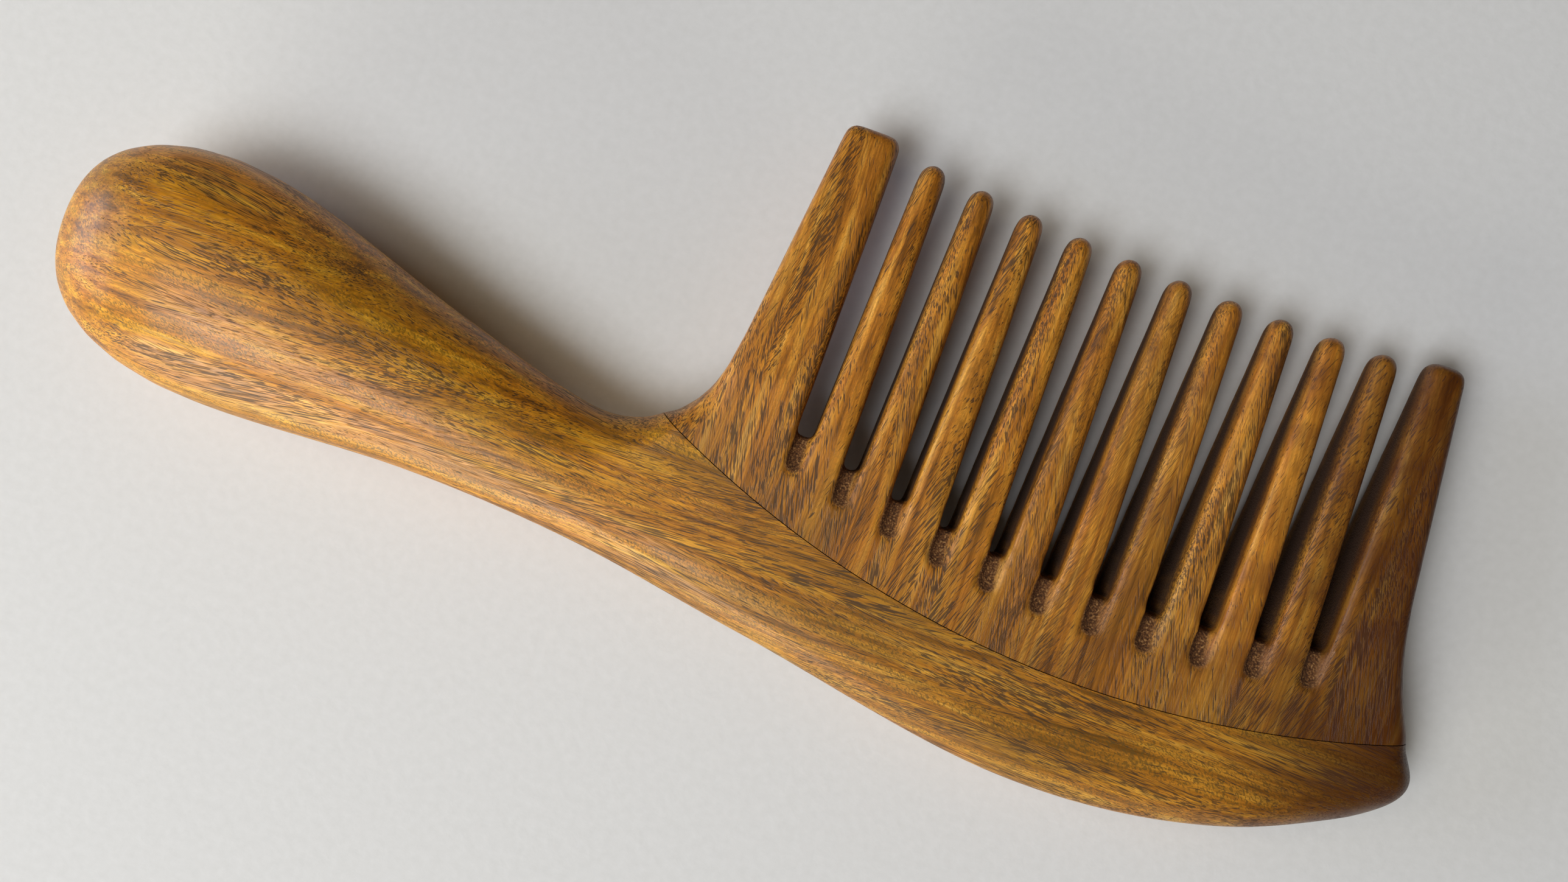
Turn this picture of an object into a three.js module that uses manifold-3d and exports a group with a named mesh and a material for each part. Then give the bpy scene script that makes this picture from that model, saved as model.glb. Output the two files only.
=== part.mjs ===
// Wooden wide-tooth comb: a bulb-handled back and a tooth board, glued along a curved tongue joint.
//
// Millimetres. The comb is shaped flat: X runs along the tooth row, Y towards the tooth tips and Z
// through the thickness, with Y = 0 at the lowest point of the joint line and X = 0 at the middle of
// the row. The finished comb is then tipped onto the surface that it lies on, and centred over it.

import * as THREE from 'three';
import { mergeVertices } from 'three/addons/utils/BufferGeometryUtils.js';
import Module from 'manifold-3d';

// Tooth row: thin teeth between two broad guard teeth, all parallel
const THIN_TEETH = 10;
const TOOTH_PITCH = 7.5;
const ROOT_GAP = 2.6;
const TIP_GAP = 3.7;
const GAP_WIDENING_POWER = 1.2; // above 1, the gaps widen mostly towards the tips
const TOOTH_LEAN = 0.019; // sideways run of the teeth for each millimetre of height
const LEAN_PIVOT = 41; // height at which the teeth stand at their even spacing about X = 0
const LEFT_GUARD_ROOT = 11.6;
const LEFT_GUARD_TIP = 7.8;
const RIGHT_GUARD_ROOT = 9;
const RIGHT_GUARD_TIP = 5.6;
const RIGHT_GUARD_EXTRA = 0.8; // how far the right guard's tip stands out of the row of tips
const GUARD_TIP_ROUND = 1.4;
const ROOT_EDGE_ROUND = 0.3;
const TOOTH_EDGE_ROUND = 1;
const TIP_EDGE_ROUND = 1.6;
const EDGE_EASING_SHARE = 0.4; // share of a tooth over which its edges lose their root sharpness
const CORNER_DEPTH_RATIO = 1.2; // depth of a tooth's rounded corner over its width

// Thickness of the tooth board at the joint and of its teeth at their tips
const PLATE_THICKNESS = 10.8;
const TIP_THICKNESS = 4.6;

// Arcs that cross the comb, each with its radius, the X of its lowest point and its height there
const SEAM_RADIUS = 142;
const SEAM_CENTRE_X = 7;
const GULLET_RADIUS = 143.7;
const GULLET_CENTRE_X = 6.5;
const GULLET_RISE = 6.7;
const TIP_RADIUS = 400;
const TIP_CENTRE_X = 19;
const TIP_RISE = 56.9;

// Each gap ends in two ramps, one from each face, that meet in a ridge at mid-thickness
const RAMP_LENGTH = 5.2;
const RIDGE_LAND = 0.8; // blunt height of the ridge
const MOUTH_LIP = 0.3; // depth at which a ramp starts below the face
const SLOT_STEP = 0.05; // step by which the rounded end is narrower, on each side, than its gap
const TAPER_DELAY = 3; // straight stretch past the ridge before a tooth starts to thin and narrow

// Handle, measured from the first gap: where each section lies, its middle, width and thickness
const BUTT_REACH = 106.5;
const BUTT_MIDDLE = 12.7;
const BULB_REACH = 80.5;
const BULB_MIDDLE = 11;
const BULB_WIDTH = 33.1;
const BULB_THICKNESS = 22;
const BULB_FULLNESS = 2.65; // exponent of the rounded butt, 2 for a plain ellipse
const GRIP_REACH = 50;
const GRIP_MIDDLE = 7;
const GRIP_WIDTH = 22.8;
const GRIP_THICKNESS = 17;
const NECK_MIDDLE = 3.6;
const NECK_WIDTH = 18.4;
const NECK_THICKNESS = 12.4;
const NOTCH_RADIUS = 14.6; // finger notch between the neck and the left guard tooth

// Back: depth below the joint line along the row, and the flared nose past the right guard tooth
const BACK_DEPTH_START = 9.9;
const BACK_DEPTH = 16.2;
const BACK_DEPTH_LATE = 12.1;
const BACK_DEPTH_END = 2;
const BACK_LATE_X = 35;
const BACK_ROUND = 7;
const FLARE_REACH = 8.7;
const FLARE_HEIGHT = 22;
const FLARE_POWER = 1.5;
const NOSE_HEIGHT = 3.5;
const NOSE_LENGTH = 8.6;
const NOSE_FULLNESS = 3;

// Rounding of the outer edges where they run across the joint line
const NOTCH_EDGE_ROUND = 2.5;
const FLARE_EDGE_ROUND = 3;
const SLANT_FACTOR = 2; // a section that cuts an edge aslant shows its round this much wider
const ROUND_LIMIT = 0.97; // share of half a side that a corner round may take up

// Joint: a tongue on the tooth board in a groove in the back, with glue round it
const TONGUE_THICKNESS = 3.6;
const TONGUE_DEPTH = 5;
const TONGUE_SETBACK = 8; // from the ends of the tooth row's guards
const GLUE_GAP = 0.3;
const GLUE_BED_THICKNESS = 0.8;

// Allowances that the cuts and joins take away again
const OVERLAP = 5; // how far solids run into each other, or past a cut
const ROOT_STOCK = 1; // spare root past the ridges of the gaps
const WELD_DISTANCE = 1e-5;

// Fineness of the facets
const STATION_STEP = 2.5;
const QUARTER_STEPS = 9;
const CORNER_STEPS = 2;
const TOOTH_STEPS = 7;
const SEAM_SEGMENTS = 240;
const TIP_ANGLES = [22, 44, 62, 76, 84].map(THREE.MathUtils.degToRad);
const END_ANGLES = [14, 28, 41, 53, 63, 72, 79, 85, 89].map(THREE.MathUtils.degToRad);

const WOOD_GOLD = '#a9722c';
const WOOD_OLIVE = '#9a6a2c';
const GLUE_BROWN = '#5b3a1c';
const WOOD_ROUGHNESS = 0.43;
const GLUE_ROUGHNESS = 0.6;

// Places that follow from the sizes
const firstGapX = (-TOOTH_PITCH * THIN_TEETH) / 2;
const lastGapX = -firstGapX;
const plateHalf = PLATE_THICKNESS / 2;
const leftGuardX = firstGapX - ROOT_GAP / 2 - LEFT_GUARD_ROOT;
const rightGuardX = lastGapX + ROOT_GAP / 2 + RIGHT_GUARD_ROOT;
const buttX = firstGapX - BUTT_REACH;
const bulbX = firstGapX - BULB_REACH;
const gripX = firstGapX - GRIP_REACH;
const leanX = (y) => TOOTH_LEAN * (y - LEAN_PIVOT);
const neckTop = NECK_MIDDLE + NECK_WIDTH / 2;
const notchMiddleY = neckTop + NOTCH_RADIUS;
const notchEndX = leftGuardX + leanX(notchMiddleY);
const neckX = notchEndX - NOTCH_RADIUS;
const noseX = rightGuardX + FLARE_REACH;
const noseStartX = noseX - NOSE_LENGTH;

const { smoothstep, lerp, clamp } = THREE.MathUtils;
const arcRise = (radius, offset) => radius - Math.sqrt(radius * radius - offset * offset);
const seamY = (x) => arcRise(SEAM_RADIUS, x - SEAM_CENTRE_X);
const gulletY = (x) => GULLET_RISE + arcRise(GULLET_RADIUS, x - GULLET_CENTRE_X);
const ridgeY = (x) => gulletY(x) + RAMP_LENGTH;
const tipY = (x) => TIP_RISE + arcRise(TIP_RADIUS, x - TIP_CENTRE_X);
const superellipse = (share, power) => Math.pow(1 - Math.pow(clamp(share, 0, 1), power), 1 / power);

// A smooth curve through [x, value] pairs
function curveThrough(pairs) {
  const places = pairs.map(([x]) => x);
  const values = pairs.map(([, value]) => value);
  const curve = new THREE.CubicInterpolant(places, values, 1, new Float64Array(1));
  return (x) => curve.evaluate(x)[0];
}

const wasm = await Module();
wasm.setup();

function toSolid(geometry) {
  const bare = geometry.index ? geometry.toNonIndexed() : geometry.clone();
  bare.deleteAttribute('normal');
  bare.deleteAttribute('uv');
  const merged = mergeVertices(bare, WELD_DISTANCE);
  return new wasm.Manifold(new wasm.Mesh({
    numProp: 3,
    vertProperties: new Float32Array(merged.attributes.position.array),
    triVerts: new Uint32Array(merged.index.array),
  }));
}

function toGeometry(solid) {
  const mesh = solid.getMesh();
  const geometry = new THREE.BufferGeometry();
  geometry.setAttribute('position', new THREE.BufferAttribute(mesh.vertProperties, 3));
  geometry.setIndex(new THREE.BufferAttribute(mesh.triVerts, 1));
  geometry.computeVertexNormals();
  return geometry;
}

// A closed skin over rings of equally many points, with a flat fan over the first and last ring
function loft(rings) {
  const count = rings[0].length;
  const points = rings.flat();
  const triangles = [];
  for (let ring = 0; ring + 1 < rings.length; ring += 1) {
    for (let i = 0; i < count; i += 1) {
      const a = ring * count + i;
      const b = ring * count + ((i + 1) % count);
      triangles.push([a, b, a + count], [b, b + count, a + count]);
    }
  }
  const last = (rings.length - 1) * count;
  for (let i = 1; i + 1 < count; i += 1) {
    triangles.push([0, i + 1, i], [last, last + i, last + i + 1]);
  }
  const volume = triangles.reduce((sum, [a, b, c]) => (
    sum + points[a].dot(points[b].clone().cross(points[c]))), 0);
  const outward = volume > 0 ? triangles : triangles.map(([a, b, c]) => [a, c, b]);
  const geometry = new THREE.BufferGeometry().setFromPoints(points);
  geometry.setIndex(outward.flat());
  return geometry;
}

// An upright prism on an outline in the XY plane, centred on mid-thickness
function prism(shape, thickness, curveSegments = 12) {
  const geometry = new THREE.ExtrudeGeometry(shape, {
    depth: thickness, bevelEnabled: false, steps: 1, curveSegments,
  });
  return geometry.translate(0, 0, -thickness / 2);
}

// The disc whose rim is the joint line, moved outward by an offset
function seamDisc(offset) {
  const radius = SEAM_RADIUS + offset;
  const height = BULB_THICKNESS + PLATE_THICKNESS;
  return new THREE.CylinderGeometry(radius, radius, height, SEAM_SEGMENTS)
    .rotateX(Math.PI / 2)
    .translate(SEAM_CENTRE_X, SEAM_RADIUS, 0);
}

// A strip that follows the joint line between two offsets from it, and stops short of the row's ends
function seamStrip(innerOffset, outerOffset, thickness, setback) {
  const angleAt = (x) => Math.atan2(seamY(x) - SEAM_RADIUS, x - SEAM_CENTRE_X);
  const start = angleAt(leftGuardX + setback);
  const end = angleAt(rightGuardX - setback);
  const shape = new THREE.Shape();
  shape.absarc(SEAM_CENTRE_X, SEAM_RADIUS, SEAM_RADIUS + outerOffset, start, end, false);
  shape.absarc(SEAM_CENTRE_X, SEAM_RADIUS, SEAM_RADIUS + innerOffset, end, start, true);
  return prism(shape, thickness, SEAM_SEGMENTS / 12);
}

// The lower and upper edge of the handle and back along X
const lowBase = curveThrough([
  [buttX, BUTT_MIDDLE - BULB_WIDTH / 2],
  [bulbX, BULB_MIDDLE - BULB_WIDTH / 2],
  [gripX, GRIP_MIDDLE - GRIP_WIDTH / 2],
  [neckX, NECK_MIDDLE - NECK_WIDTH / 2],
  [firstGapX, -BACK_DEPTH_START],
  [SEAM_CENTRE_X, -BACK_DEPTH],
  [BACK_LATE_X, -BACK_DEPTH_LATE],
  [noseX, -BACK_DEPTH_END],
]);
const handleTop = curveThrough([
  [buttX, BUTT_MIDDLE + BULB_WIDTH / 2],
  [bulbX, BULB_MIDDLE + BULB_WIDTH / 2],
  [gripX, GRIP_MIDDLE + GRIP_WIDTH / 2],
  [neckX, neckTop],
  [leftGuardX, neckTop],
]);
const handleThickness = curveThrough([
  [buttX, BULB_THICKNESS],
  [bulbX, BULB_THICKNESS],
  [gripX, GRIP_THICKNESS],
  [neckX, NECK_THICKNESS],
  [leftGuardX, PLATE_THICKNESS],
  [lastGapX, PLATE_THICKNESS],
]);

// The flare of the right end, as an X for a height and as a height for an X
const flareX = (y) => {
  const share = clamp((FLARE_HEIGHT - y) / (FLARE_HEIGHT - NOSE_HEIGHT), 0, 1);
  return rightGuardX + FLARE_REACH * Math.pow(share, FLARE_POWER);
};
const flareY = (x) => {
  const share = clamp((x - rightGuardX) / FLARE_REACH, 0, 1);
  return lerp(FLARE_HEIGHT, NOSE_HEIGHT, Math.pow(share, 1 / FLARE_POWER));
};

// The upper edge of the back is left standing past the joint line, which then cuts it
function highBase(x) {
  if (x <= neckX) return handleTop(x);
  const pastSeam = seamY(x) + OVERLAP;
  const notch = x < notchEndX ? neckTop + arcRise(NOTCH_RADIUS, x - neckX) : pastSeam;
  return Math.min(notch, pastSeam, flareY(x));
}

// One section of the handle and back: a flat-sided oval whose two ends are quarter ellipses
function backSection(x) {
  const buttShare = (bulbX - x) / (bulbX - buttX);
  const noseShare = (x - noseStartX) / NOSE_LENGTH;
  const closing = superellipse(buttShare, BULB_FULLNESS) * superellipse(noseShare, NOSE_FULLNESS);
  const thicknessClosing = superellipse(buttShare, 2) * superellipse(noseShare, NOSE_FULLNESS);
  const middle = x < bulbX ? (lowBase(x) + highBase(x)) / 2 : NOSE_HEIGHT;
  const low = lerp(middle, lowBase(x), closing);
  const high = x < bulbX ? lerp(middle, highBase(x), closing) : highBase(x);
  const half = (Math.max(PLATE_THICKNESS, handleThickness(x)) / 2) * thicknessClosing;

  const fullRound = (ROUND_LIMIT * (high - low)) / 2;
  const intoBack = smoothstep(x, neckX, leftGuardX);
  const intoDepth = smoothstep(x, gripX, firstGapX);
  const noseRound = SLANT_FACTOR * FLARE_EDGE_ROUND;
  const edgeRound = lerp(NOTCH_EDGE_ROUND, noseRound, smoothstep(x, lastGapX, noseX));
  const lowRound = Math.min(fullRound, lerp(fullRound, BACK_ROUND, intoDepth));
  const highRound = Math.min(fullRound, lerp(fullRound, edgeRound, intoBack));

  const upperSide = [];
  for (let i = 0; i <= QUARTER_STEPS; i += 1) {
    const angle = (i / QUARTER_STEPS) * (Math.PI / 2);
    upperSide.push([low + lowRound * (1 - Math.cos(angle)), half * Math.sin(angle)]);
  }
  for (let i = QUARTER_STEPS; i >= 0; i -= 1) {
    const angle = (i / QUARTER_STEPS) * (Math.PI / 2);
    upperSide.push([high - highRound * (1 - Math.cos(angle)), half * Math.sin(angle)]);
  }
  const lowerSide = upperSide.slice(1, -1).reverse().map(([y, z]) => [y, -z]);
  return [...upperSide, ...lowerSide].map(([y, z]) => new THREE.Vector3(x, y, z));
}

function handleBack() {
  const stations = END_ANGLES.map((angle) => lerp(bulbX, buttX, Math.sin(angle))).reverse();
  const steps = Math.ceil((noseStartX - bulbX) / STATION_STEP);
  for (let i = 0; i <= steps; i += 1) stations.push(lerp(bulbX, noseStartX, i / steps));
  END_ANGLES.forEach((angle) => stations.push(lerp(noseStartX, noseX, Math.sin(angle))));

  const blank = toSolid(loft(stations.map(backSection)));
  const groove = seamStrip(
    -OVERLAP,
    TONGUE_DEPTH + 2 * GLUE_GAP + GLUE_BED_THICKNESS,
    TONGUE_THICKNESS + 2 * GLUE_GAP,
    TONGUE_SETBACK - GLUE_GAP,
  );
  return blank.subtract(toSolid(seamDisc(GLUE_GAP / 2))).subtract(toSolid(groove));
}

// One section of a tooth at a height: a rectangle whose corners are quarter ellipses
function toothSection(y, left, right, half, leftRound, rightRound) {
  const corners = [
    [right, 1, rightRound, 1],
    [left, -1, leftRound, 1],
    [left, -1, leftRound, -1],
    [right, 1, rightRound, -1],
  ];
  return corners.flatMap(([edge, side, round, face], corner) => {
    const depth = Math.min(CORNER_DEPTH_RATIO * round, ROUND_LIMIT * half);
    const points = [];
    for (let i = 0; i <= CORNER_STEPS; i += 1) {
      const angle = (i / CORNER_STEPS) * (Math.PI / 2);
      const x = edge - side * round * (1 - Math.cos(angle));
      const z = face * (half - depth * (1 - Math.sin(angle)));
      points.push(new THREE.Vector3(x, y, z));
    }
    return corner % 2 === 0 ? points : points.reverse();
  });
}

// A tooth from below the ridge line to its rounded tip, between two edges given along its height
function tooth({ middle, bottom, leftEdge, rightEdge, leftRound, rightRound, tipRound, extra = 0 }) {
  const ridge = ridgeY(middle);
  const tip = tipY(middle) + extra;
  const tipStart = tip - tipRound;
  const taperStart = ridge + TAPER_DELAY;
  const alongTooth = (y) => clamp((y - taperStart) / (tip - taperStart), 0, 1);
  const halfAt = (y) => lerp(PLATE_THICKNESS, TIP_THICKNESS, alongTooth(y)) / 2;
  const sectionAt = (y, inset, closing) => {
    const left = leftEdge(y, alongTooth(y)) + inset;
    const right = rightEdge(y, alongTooth(y)) - inset;
    const room = (ROUND_LIMIT * (right - left)) / 2;
    const leftCorner = Math.min(leftRound(y, alongTooth(y)) * closing, room);
    const rightCorner = Math.min(rightRound(y, alongTooth(y)) * closing, room);
    return toothSection(y, left, right, halfAt(y) * closing, leftCorner, rightCorner);
  };

  const heights = [];
  const rootSteps = Math.ceil((ridge - bottom) / STATION_STEP);
  for (let i = 0; i < rootSteps; i += 1) heights.push(lerp(bottom, ridge, i / rootSteps));
  heights.push(ridge);
  for (let i = 0; i <= TOOTH_STEPS; i += 1) {
    heights.push(lerp(taperStart, tipStart, i / TOOTH_STEPS));
  }
  const rings = heights.map((y) => sectionAt(y, 0, 1));
  TIP_ANGLES.forEach((angle) => {
    const inset = tipRound * (1 - Math.cos(angle));
    rings.push(sectionAt(tipStart + tipRound * Math.sin(angle), inset, Math.cos(angle)));
  });
  return toSolid(loft(rings));
}

const halfGap = (share) => lerp(ROOT_GAP, TIP_GAP, Math.pow(share, GAP_WIDENING_POWER)) / 2;
const easedRound = (y, share) => {
  const shaftRound = lerp(ROOT_EDGE_ROUND, TOOTH_EDGE_ROUND, smoothstep(share, 0, EDGE_EASING_SHARE));
  return lerp(shaftRound, TIP_EDGE_ROUND, smoothstep(share, EDGE_EASING_SHARE, 1));
};
const gapCentres = Array.from({ length: THIN_TEETH + 1 }, (_, gap) => firstGapX + gap * TOOTH_PITCH);

function thinTooth(index) {
  const middle = (gapCentres[index] + gapCentres[index + 1]) / 2;
  return tooth({
    middle,
    bottom: ridgeY(middle) - OVERLAP,
    leftEdge: (y, share) => gapCentres[index] + leanX(y) + halfGap(share),
    rightEdge: (y, share) => gapCentres[index + 1] + leanX(y) - halfGap(share),
    leftRound: easedRound,
    rightRound: easedRound,
    tipRound: (TOOTH_PITCH - TIP_GAP) / 2,
  });
}

// The left guard's outer edge rises from the finger notch, then leans in towards the tip
function leftGuard() {
  const taper = LEFT_GUARD_ROOT - LEFT_GUARD_TIP - (TIP_GAP - ROOT_GAP) / 2;
  return tooth({
    middle: firstGapX - ROOT_GAP / 2 - LEFT_GUARD_ROOT / 2,
    bottom: seamY(firstGapX) - OVERLAP,
    leftEdge: (y, share) => {
      const intoNotch = clamp(notchMiddleY - y, 0, NOTCH_RADIUS);
      const lean = leanX(Math.max(y, notchMiddleY));
      return leftGuardX + lean + taper * share - arcRise(NOTCH_RADIUS, intoNotch);
    },
    rightEdge: (y, share) => firstGapX + leanX(y) - halfGap(share),
    leftRound: (y) => {
      const outOfNotch = smoothstep(y, neckTop, notchMiddleY);
      return lerp(SLANT_FACTOR * NOTCH_EDGE_ROUND, TOOTH_EDGE_ROUND, outOfNotch);
    },
    rightRound: easedRound,
    tipRound: GUARD_TIP_ROUND,
  });
}

// The right guard's outer edge leans in towards the tip, and flares out into the nose of the back
function rightGuard() {
  const taper = RIGHT_GUARD_ROOT - RIGHT_GUARD_TIP - (TIP_GAP - ROOT_GAP) / 2;
  return tooth({
    middle: lastGapX + ROOT_GAP / 2 + RIGHT_GUARD_ROOT / 2,
    bottom: seamY(lastGapX) - OVERLAP,
    leftEdge: (y, share) => lastGapX + leanX(y) + halfGap(share),
    rightEdge: (y, share) => flareX(y) - taper * share,
    leftRound: easedRound,
    rightRound: (y) => {
      const outOfFlare = smoothstep(y, NOSE_HEIGHT, FLARE_HEIGHT);
      return lerp(FLARE_EDGE_ROUND, TOOTH_EDGE_ROUND, outOfFlare);
    },
    tipRound: GUARD_TIP_ROUND,
    extra: RIGHT_GUARD_EXTRA,
  });
}

// The solid root that carries the teeth, from below the joint line to just past the ridges
function toothRoot() {
  const left = firstGapX - 2 * ROOT_GAP;
  const right = lastGapX + ROOT_GAP;
  const shape = new THREE.Shape();
  shape.moveTo(left, -OVERLAP);
  shape.lineTo(right, -OVERLAP);
  const steps = Math.ceil((right - left) / STATION_STEP);
  for (let i = steps; i >= 0; i -= 1) {
    const x = lerp(left, right, i / steps);
    shape.lineTo(x, ridgeY(x) + ROOT_STOCK);
  }
  shape.closePath();
  return toSolid(prism(shape, PLATE_THICKNESS));
}

// The cutter for the end of one gap: a round-ended slot that stops at two ramps and their ridge
function gulletCutter(x) {
  const radius = ROOT_GAP / 2 - SLOT_STEP;
  const ridge = ridgeY(x);
  const past = ridge + 2 * ROOT_STOCK;
  const slot = new THREE.Shape();
  slot.moveTo(x + radius, past + ROOT_STOCK);
  slot.lineTo(x - radius, past + ROOT_STOCK);
  slot.absarc(x, gulletY(x) + radius, radius, Math.PI, 2 * Math.PI, false);
  slot.closePath();

  const landHalf = RIDGE_LAND / 2;
  const above = plateHalf + OVERLAP;
  const run = RAMP_LENGTH / (plateHalf - MOUTH_LIP - landHalf);
  const foot = ridge - run * (above - landHalf);
  const profile = new THREE.Shape();
  profile.moveTo(foot, above);
  profile.lineTo(ridge, landHalf);
  profile.lineTo(ridge, -landHalf);
  profile.lineTo(foot, -above);
  profile.lineTo(past, -above);
  profile.lineTo(past, above);
  profile.closePath();
  const standUp = new THREE.Matrix4().set(0, 0, 1, x, 1, 0, 0, 0, 0, 1, 0, 0, 0, 0, 0, 1);
  const ramps = prism(profile, TOOTH_PITCH).applyMatrix4(standUp);
  const leaning = new THREE.Matrix4().makeShear(0, 0, TOOTH_LEAN, 0, 0, 0);
  const leaningSlot = prism(slot, 2 * above).translate(0, -LEAN_PIVOT, 0)
    .applyMatrix4(leaning).translate(0, LEAN_PIVOT, 0);
  return toSolid(ramps).intersect(toSolid(leaningSlot));
}

function toothPlate() {
  let plate = toothRoot().add(leftGuard()).add(rightGuard());
  for (let index = 0; index < THIN_TEETH; index += 1) plate = plate.add(thinTooth(index));
  gapCentres.forEach((x) => {
    plate = plate.subtract(gulletCutter(x));
  });
  const tongue = seamStrip(-GULLET_RISE / 2, TONGUE_DEPTH, TONGUE_THICKNESS, TONGUE_SETBACK);
  return plate.intersect(toSolid(seamDisc(-GLUE_GAP / 2))).add(toSolid(tongue));
}

// The glue that hardens between the end of the tongue and the bottom of the groove
function glueBed() {
  const inner = TONGUE_DEPTH + GLUE_GAP;
  return toSolid(seamStrip(inner, inner + GLUE_BED_THICKNESS, TONGUE_THICKNESS, TONGUE_SETBACK));
}

function addPiece(group, name, solid, color, roughness) {
  const material = new THREE.MeshStandardMaterial({ color, roughness, metalness: 0 });
  const mesh = new THREE.Mesh(toGeometry(solid), material);
  mesh.name = name;
  group.add(mesh);
}

const flatComb = new THREE.Group();
addPiece(flatComb, 'handle_back', handleBack(), WOOD_GOLD, WOOD_ROUGHNESS);
addPiece(flatComb, 'tooth_plate', toothPlate(), WOOD_OLIVE, WOOD_ROUGHNESS);
addPiece(flatComb, 'glue_bed', glueBed(), GLUE_BROWN, GLUE_ROUGHNESS);

// The comb lies on its bulb and on the far end of its flat underside, so it slopes down to the right
flatComb.rotation.y = Math.atan2((BULB_THICKNESS - PLATE_THICKNESS) / 2, rightGuardX - bulbX);
flatComb.updateMatrixWorld(true);
const box = new THREE.Box3().setFromObject(flatComb, true);
const comb = new THREE.Group();
comb.add(flatComb);
comb.position.set(-(box.min.x + box.max.x) / 2, -(box.min.y + box.max.y) / 2, -box.min.z);

export default comb;
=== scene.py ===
# %% [markdown]
# # A wooden wide-tooth comb
# This comb is about twenty centimetres long and made of two pieces of an oily golden hardwood: a
# back with a bulb handle, and a board with the teeth, glued along a curved joint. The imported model
# already holds both pieces at their real size. This lesson gives them the skin that sanding
# leaves, their grain and their light. The model comes first, and with it the box that the
# finished comb has to stay inside.

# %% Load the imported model
import math

import bmesh
import bpy
import numpy as np
from mathutils import Matrix, Vector


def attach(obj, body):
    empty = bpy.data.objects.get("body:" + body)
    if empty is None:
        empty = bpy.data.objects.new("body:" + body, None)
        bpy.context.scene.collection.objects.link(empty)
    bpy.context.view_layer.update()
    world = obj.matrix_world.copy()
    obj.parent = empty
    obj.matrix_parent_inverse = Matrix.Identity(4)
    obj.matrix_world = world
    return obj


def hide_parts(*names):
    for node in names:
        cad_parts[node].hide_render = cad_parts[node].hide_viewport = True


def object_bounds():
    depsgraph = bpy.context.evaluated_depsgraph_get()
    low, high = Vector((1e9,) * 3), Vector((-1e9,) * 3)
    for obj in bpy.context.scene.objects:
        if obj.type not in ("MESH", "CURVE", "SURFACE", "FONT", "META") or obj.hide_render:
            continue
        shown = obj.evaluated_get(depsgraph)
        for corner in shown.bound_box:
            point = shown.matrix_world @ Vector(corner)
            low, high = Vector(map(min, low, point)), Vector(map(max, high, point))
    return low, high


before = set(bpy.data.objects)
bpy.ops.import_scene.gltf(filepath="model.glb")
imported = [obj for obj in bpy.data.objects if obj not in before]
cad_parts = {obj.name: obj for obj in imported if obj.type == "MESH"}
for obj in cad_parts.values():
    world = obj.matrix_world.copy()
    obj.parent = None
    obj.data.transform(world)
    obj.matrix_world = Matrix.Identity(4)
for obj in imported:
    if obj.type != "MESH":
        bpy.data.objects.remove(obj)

cad_low, cad_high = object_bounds()
print("pieces:", sorted(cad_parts), "box in metres:", list(cad_low), list(cad_high))

# %% [markdown]
# ## Two small tools
# Every tree of nodes below is built with one function. It adds a node, sets its properties and
# feeds its inputs: a node or a socket is linked, and anything else is set as a plain value.
# Colours are written as sRGB hex, as a colour picker shows them, and turned to linear light.

# %% Node and colour helpers
def add_node(tree, kind, feeds=None, **settings):
    node = tree.nodes.new(kind)
    for name, value in settings.items():
        setattr(node, name, value)
    for key, value in (feeds or {}).items():
        if isinstance(value, bpy.types.Node):
            value = value.outputs[0]
        if isinstance(value, bpy.types.NodeSocket):
            tree.links.new(value, node.inputs[key])
        else:
            node.inputs[key].default_value = value
    return node


def linear(hex_colour):
    channels = [int(hex_colour[i:i + 2], 16) / 255 for i in (1, 3, 5)]
    return [c / 12.92 if c <= 0.04045 else ((c + 0.055) / 1.055) ** 2.4 for c in channels] + [1.0]


print("mid grey in linear light:", round(linear("#808080")[0], 3))

# %% [markdown]
# ## The comb laid flat
# The real comb rests on its thick bulb and on the far end of its thin board, so it lies tipped by
# about two degrees. Shaping is easier on a flat comb: X along the row of teeth, Y towards the
# tips and Z through the thickness, in millimetres. One matrix lays the flat comb down, and its
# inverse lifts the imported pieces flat.

# %% Flat frame
BULB_THICKNESS = 22.0
BOARD_THICKNESS = 10.8
REST_SPAN = 165.8  # from the bulb to the far end that also touches the table
REST_PLACE = Vector((43.72, -22.8934, 7.1263))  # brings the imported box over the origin
WELD_DISTANCE = 1e-6

tip_angle = math.atan2((BULB_THICKNESS - BOARD_THICKNESS) / 2, REST_SPAN)
lay_down = (Matrix.Scale(0.001, 4) @ Matrix.Translation(REST_PLACE)
            @ Matrix.Rotation(tip_angle, 4, "Y"))
lift_flat = lay_down.inverted()


def flat_copy(node_name):
    shape = bmesh.new()
    shape.from_mesh(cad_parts[node_name].data)
    bmesh.ops.remove_doubles(shape, verts=shape.verts, dist=WELD_DISTANCE)
    shape.transform(lift_flat)
    return shape


back = flat_copy("handle_back")
board = flat_copy("tooth_plate")
print("board lies flat between z =", round(min(v.co.z for v in board.verts), 3),
      "and", round(max(v.co.z for v in board.verts), 3), "mm")

# %% [markdown]
# ## Camera
# The picture is taken from straight above the flat faces, close up, with the row of teeth turned
# by twenty degrees. A wide lens from about sixteen centimetres gives the same perspective: the
# bulb is nearer to it than the tips, and looks larger. A long lens would flatten that.

# %% Camera over the comb
CAMERA_PLACE = Vector((-40.3, 17.31, 163.3))
CAMERA_TURN = math.radians(20)
FOCAL_PIXELS, IMAGE_WIDTH = 1935.0, 2576.0  # the lens in pixels of the picture
SENSOR_WIDTH = 36.0
NEAR_CLIP = 0.005

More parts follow.
